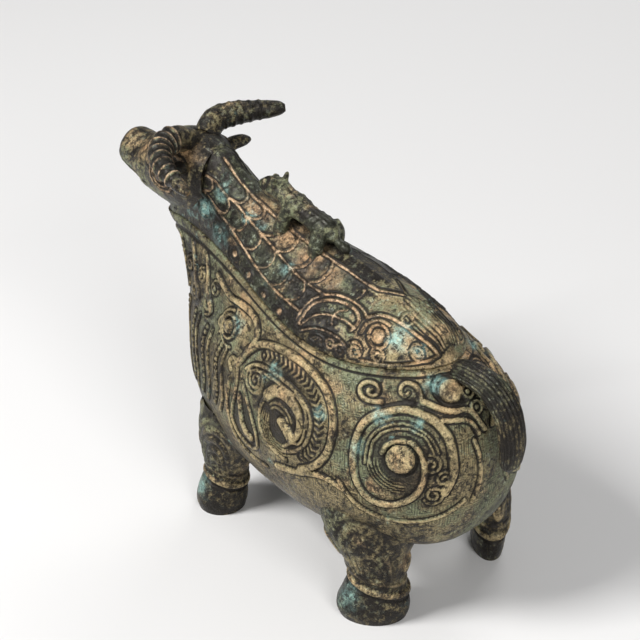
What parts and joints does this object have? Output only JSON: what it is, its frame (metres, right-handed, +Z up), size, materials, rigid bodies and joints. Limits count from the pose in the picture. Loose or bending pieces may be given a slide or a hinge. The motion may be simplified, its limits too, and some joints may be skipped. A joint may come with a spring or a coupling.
{
  "type": "ox-shaped censer",
  "caption": "Bronze incense burner cast as a standing ox: hollow body on hooves, lift-off lid with neck, head, horns and a tiger knob, and a loose oval pan for ash inside.",
  "frame": {"origin": "centre of the bounding box, on the surface that the hooves stand on", "axes": "+Z up, the ox faces -Y, its left side is towards +X"},
  "size_m": [0.078, 0.1834, 0.1376],
  "materials": {
    "vessel_bronze": "patinated cast bronze, olive and malachite over dark brown",
    "leg_bronze": "dark worn cast bronze with green in the hollows",
    "lid_bronze": "patinated cast bronze with tan raised lines",
    "tiger_bronze": "handled cast bronze, dark with green and ochre",
    "rivet_bronze": "hammered bronze",
    "pan_bronze": "smoked brown bronze"
  },
  "bodies": {
    "vessel": {"vessel_body": "vessel_bronze", "front_left_leg": "leg_bronze", "front_right_leg": "leg_bronze", "rear_left_leg": "leg_bronze", "rear_right_leg": "leg_bronze", "tail": "vessel_bronze"},
    "lid": {"lid_shell": "lid_bronze", "ox_head": "lid_bronze", "left_horn": "lid_bronze", "right_horn": "lid_bronze", "left_ear": "lid_bronze", "right_ear": "lid_bronze", "tiger_knob": "tiger_bronze", "knob_rivet_front_left": "rivet_bronze", "knob_rivet_front_right": "rivet_bronze", "knob_rivet_rear_left": "rivet_bronze", "knob_rivet_rear_right": "rivet_bronze"},
    "pan": {"incense_pan": "pan_bronze"}
  },
  "joints": [
    {"name": "lid_lift", "type": "slide", "parent": "vessel", "child": "lid", "axis": [0, 0, 1], "range_m": [0, 0.08]},
    {"name": "pan_lift", "type": "slide", "parent": "vessel", "child": "pan", "axis": [0, 0, 1], "range_m": [0, 0.025]}
  ]
}
